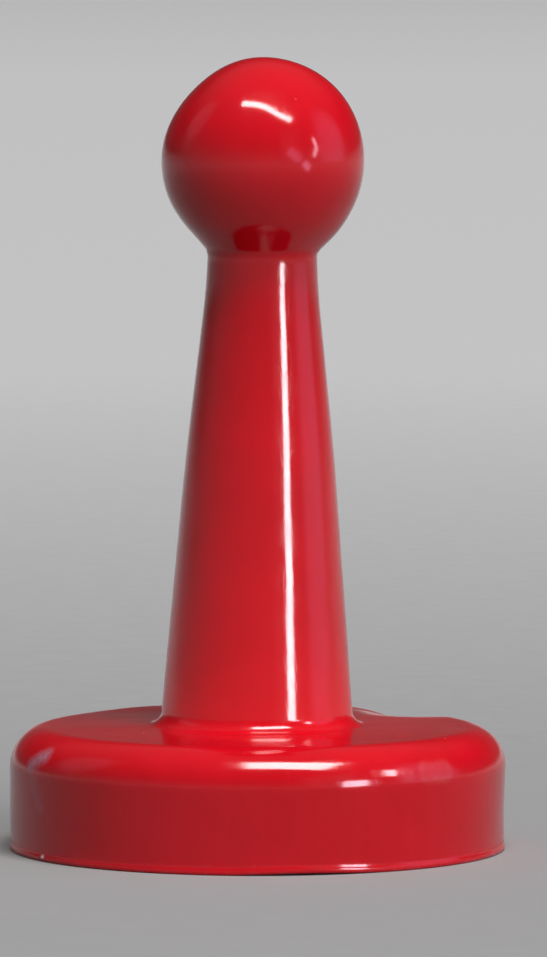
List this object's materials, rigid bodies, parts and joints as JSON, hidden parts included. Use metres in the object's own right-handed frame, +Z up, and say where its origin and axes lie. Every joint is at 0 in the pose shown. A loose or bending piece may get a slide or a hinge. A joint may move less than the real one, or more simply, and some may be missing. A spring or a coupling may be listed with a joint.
{
  "type": "game pawn",
  "caption": "Round game pawn: a ball head on a slim tapered stem that rises from a wide, low, round-edged disc base.",
  "frame": {"origin": "centre of the foot, on the surface that the token stands on", "axes": "+Z up along the token's own axis, from the foot to the ball; X and Y are free, because the token is round"},
  "size_m": [0.016, 0.016, 0.0254],
  "materials": {
    "token_plastic": "glossy moulded red plastic with light handling wear"
  },
  "bodies": {
    "root": {"ball_head": "token_plastic", "stem": "token_plastic", "base_shell": "token_plastic", "foot_plate": "token_plastic"}
  },
  "joints": []
}
